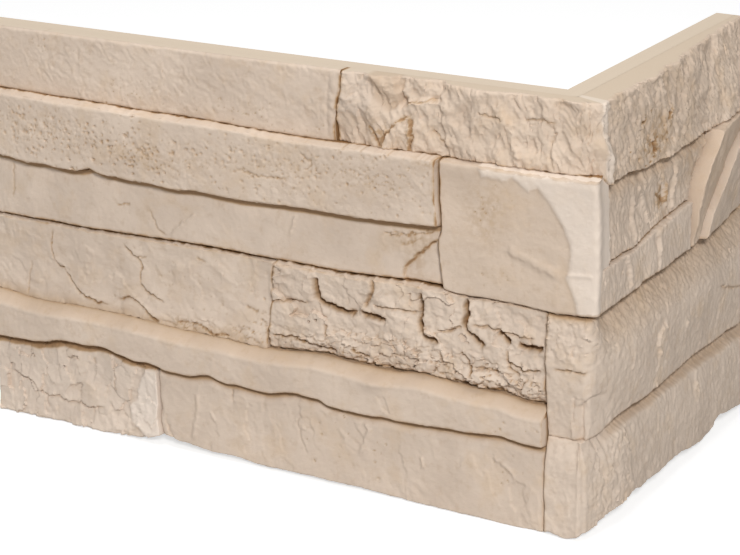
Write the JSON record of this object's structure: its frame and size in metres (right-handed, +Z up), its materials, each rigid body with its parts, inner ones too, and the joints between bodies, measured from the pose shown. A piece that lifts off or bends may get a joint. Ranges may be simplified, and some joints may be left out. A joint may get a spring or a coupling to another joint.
{
  "type": "stone cladding corner",
  "caption": "Cast L-shaped corner piece of ledge stone wall cladding, flat backs and rough split-face courses in relief on both outer sides.",
  "frame": {"origin": "foot of the inside corner line, where the two flat back faces meet", "axes": "+Z up along the wall's corner, long leg along -X with its stones facing -Y, short leg along +Y with its stones facing +X"},
  "size_m": [0.3564, 0.2061, 0.206],
  "materials": {
    "cast_stone": "matte"
  },
  "bodies": {
    "root": {"cladding_corner": "cast_stone"}
  },
  "joints": []
}
